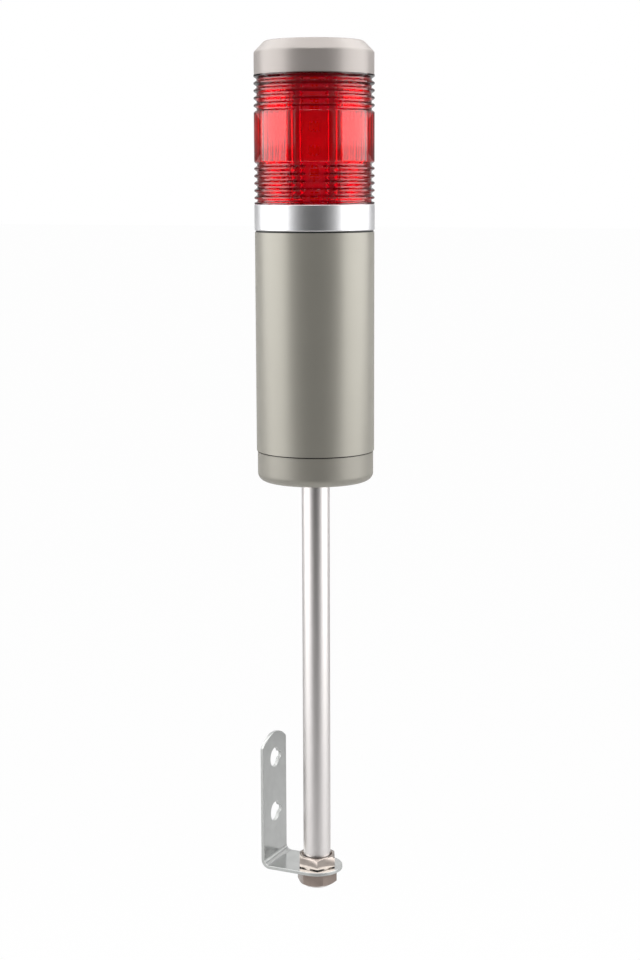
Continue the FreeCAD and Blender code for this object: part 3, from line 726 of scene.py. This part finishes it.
def add_lug(middle):
    """One lug, from a rectangle that is spun about the pole's axis."""
    deselect_all()
    depth = wall_inner_r - lug_inner_r
    bpy.ops.mesh.primitive_plane_add(
        size=1, location=(lug_inner_r + depth / 2, 0, lug_low + lug_height / 2),
        rotation=(math.pi / 2, 0, 0),
    )
    lug = bpy.context.object
    lug.scale = (depth, lug_height, 1)
    bpy.ops.object.transform_apply(location=True, rotation=True, scale=True)
    bpy.ops.object.mode_set(mode="EDIT")
    bpy.ops.mesh.select_all(action="SELECT")
    bpy.ops.mesh.spin(steps=lug_steps, angle=lug_width, center=(0, 0, 0), axis=(0, 0, 1))
    bpy.ops.mesh.select_all(action="SELECT")
    bpy.ops.mesh.remove_doubles(threshold=same_point)
    bpy.ops.mesh.normals_make_consistent(inside=False)
    bpy.ops.object.mode_set(mode="OBJECT")
    angles = [math.atan2(point.co.y, point.co.x) for point in lug.data.vertices]
    turn = middle - (min(angles) + max(angles)) / 2
    lug.data.transform(Matrix.Rotation(turn, 4, "Z"))
    return lug


lugs = [add_lug(first_lug + i * 2 * math.pi / lug_count) for i in range(lug_count)]
deselect_all()
for piece in lugs + [lens_body]:
    piece.select_set(True)
bpy.context.view_layer.objects.active = lens_body
bpy.ops.object.join()
print("lugs:", lug_count, "joined to the lens")

# %% [markdown]
# Upright bright lines run behind the ribs over the lens's whole height. What makes them
# can't be seen, so they are made as tinned rails along the edges of the four lamp boards and
# by the post's corners. Each is a square rod with one corner outwards, so that one side of it
# mirrors the left lamps and one the right.

# %% Rails on the lamp post
rail_r = 0.00055              # from a rod's middle to its corners
rail_soft = 0.00006
board_low, board_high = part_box("led_boards")
post_half = 0.0092            # from the axis to the post's face
board_thickness = 0.0010
board_face = post_half + board_thickness
board_edge = 0.00535          # from a board's middle to its rails
rail_sink = 0.0001
post_face = post_half - rail_sink
post_edge = 0.00855           # from a face's middle to the corner rails
rail_places = (
    (board_face, board_edge), (board_face, -board_edge),
    (post_face, post_edge), (post_face, -post_edge),
)


def add_rail(out, aside, side):
    """One upright rail on a side of the post, so far out from the axis and aside from the middle."""
    deselect_all()
    length = board_high[2] - board_low[2]
    middle = (board_high[2] + board_low[2]) / 2
    bpy.ops.mesh.primitive_cylinder_add(
        vertices=4, radius=rail_r, depth=length, location=(out, aside, middle),
    )
    bpy.ops.object.transform_apply(location=True, rotation=True, scale=True)
    bpy.ops.object.mode_set(mode="EDIT")
    bpy.ops.mesh.select_all(action="SELECT")
    bpy.ops.mesh.bevel(offset=rail_soft, segments=2, affect="EDGES")
    bpy.ops.object.mode_set(mode="OBJECT")
    rail = bpy.context.object
    rail.data.transform(Matrix.Rotation(lamp_turn + side * math.pi / 2, 4, "Z"))
    return rail


rails = [add_rail(out, aside, side) for side in range(4) for out, aside in rail_places]
deselect_all()
for rail in rails:
    rail.select_set(True)
bpy.context.view_layer.objects.active = rails[0]
bpy.ops.object.join()
post_rails = bpy.context.object
post_rails.name = "post_rails"
bpy.ops.object.shade_smooth_by_angle(angle=math.radians(20))
post_rails.data.materials.append(rail_tinned)
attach(post_rails, "mast")
print("rails:", len(rail_places) * 4)

# %% [markdown]
# Sheet metal and turned parts never have knife edges: a tiny rounding catches the light
# and is most of what makes them look real. The bracket, its two nuts and the silver ring are
# copied from their solids, their triangles are merged into clean faces, and a Bevel modifier
# rounds the sharp edges. A face with a hole in it can't be one clean polygon, so each piece
# is first cut through the middle and its two halves are merged by themselves.

# %% Rounded edges
same_plane_degrees = 0.6      # triangles this near to flat are merged
sharp_degrees = 30            # edges sharper than this are rounded
edge_steps = 2
weld_reach = 2e-6
rows = {row["node"]: row for row in frame["record"]["subparts"]}
bodies_of = {}
for body, members in frame["record"]["behaviour"]["bodies"].items():
    for member in members:
        bodies_of[member] = body


def rounded_copy(node_name, name, width):
    """A copy of a solid with its sharp edges rounded by a given width."""
    deselect_all()
    piece = bpy.data.objects.new(name, nodes[node_name].data.copy())
    bpy.context.scene.collection.objects.link(piece)
    piece.select_set(True)
    bpy.context.view_layer.objects.active = piece
    bpy.ops.object.mode_set(mode="EDIT")
    bpy.ops.mesh.select_all(action="SELECT")
    bpy.ops.mesh.remove_doubles(threshold=weld_reach)
    bpy.ops.mesh.bisect(plane_co=(0, 0, 0), plane_no=(1, 0, 0))
    for half in (-1, 1):
        bpy.ops.mesh.select_all(action="DESELECT")
        mesh = bmesh.from_edit_mesh(piece.data)
        for face in mesh.faces:
            if face.calc_center_median().x * half > 0:
                face.select_set(True)
        bmesh.update_edit_mesh(piece.data)
        bpy.ops.mesh.dissolve_limited(angle_limit=math.radians(same_plane_degrees))
    bpy.ops.object.mode_set(mode="OBJECT")
    bevel = piece.modifiers.new("edges", "BEVEL")
    bevel.width = width
    bevel.segments = edge_steps
    bevel.limit_method = "ANGLE"
    bevel.angle_limit = math.radians(sharp_degrees)
    bevel.harden_normals = True
    bpy.ops.object.shade_smooth_by_angle(angle=math.radians(sharp_degrees))
    bpy.ops.object.modifier_apply(modifier="edges")
    return piece


def stand_for(piece, node_name):
    """Let a piece take a node's place, body, finish and slot."""
    row = rows[node_name]
    piece.data.materials.clear()
    piece.data.materials.append(finishes[row["material_slot"]])
    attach(piece, bodies_of[node_name])
    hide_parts(node_name)
    print(piece.name, len(piece.data.polygons), "faces")


bracket_plate = rounded_copy("bracket", "bracket_plate", 0.00022)
stand_for(bracket_plate, "bracket")
stand_for(rounded_copy("upper_bracket_nut", "upper_nut", 0.00018), "upper_bracket_nut")
lower_nut = rounded_copy("lower_bracket_nut", "lower_nut", 0.00018)
stand_for(lower_nut, "lower_bracket_nut")
# The lower nut gets the darker copy of the nickel, painted shade for the shade under the foot.
lower_nut.data.materials[0] = nut_painted_shade
stand_for(rounded_copy("trim_ring", "silver_ring", 0.00015), "trim_ring")

# %% [markdown]
# The bracket was cut from plated sheet, so the outer cut edge is a pale matt line and the
# walls of the wall holes are dull. These faces are found by where they point: sideways to
# the sheet, which lies flat in the foot, stands upright in the leg and turns in the bend.

# %% Cut edges and hole walls
sheet_bend = 0.004            # the bend ends this far from the outer faces
hole_reach = 0.0075           # no outer edge lies this near to a hole's middle
hole_heights = (0.0304, 0.0554)
flat_share = 0.6              # faces that point less than this across the sheet are cut ones
bracket_low, bracket_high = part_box("bracket")
bracket_plate.data.materials.append(zinc_edge)
bracket_plate.data.materials.append(hole_wall)
edge_index = 1
wall_index = 2
edge_faces = 0
for face in bracket_plate.data.polygons:
    if face.center.z > bracket_low[2] + sheet_bend:
        across = abs(face.normal.y)
    elif face.center.y < bracket_high[1] - sheet_bend:
        across = abs(face.normal.z)
    else:
        across = math.hypot(face.normal.y, face.normal.z)
    if across < flat_share:
        from_hole = min(
            math.hypot(face.center.x, face.center.z - height) for height in hole_heights
        )
        face.material_index = wall_index if from_hole < hole_reach else edge_index
        edge_faces += 1
print("cut edges:", edge_faces, "faces")
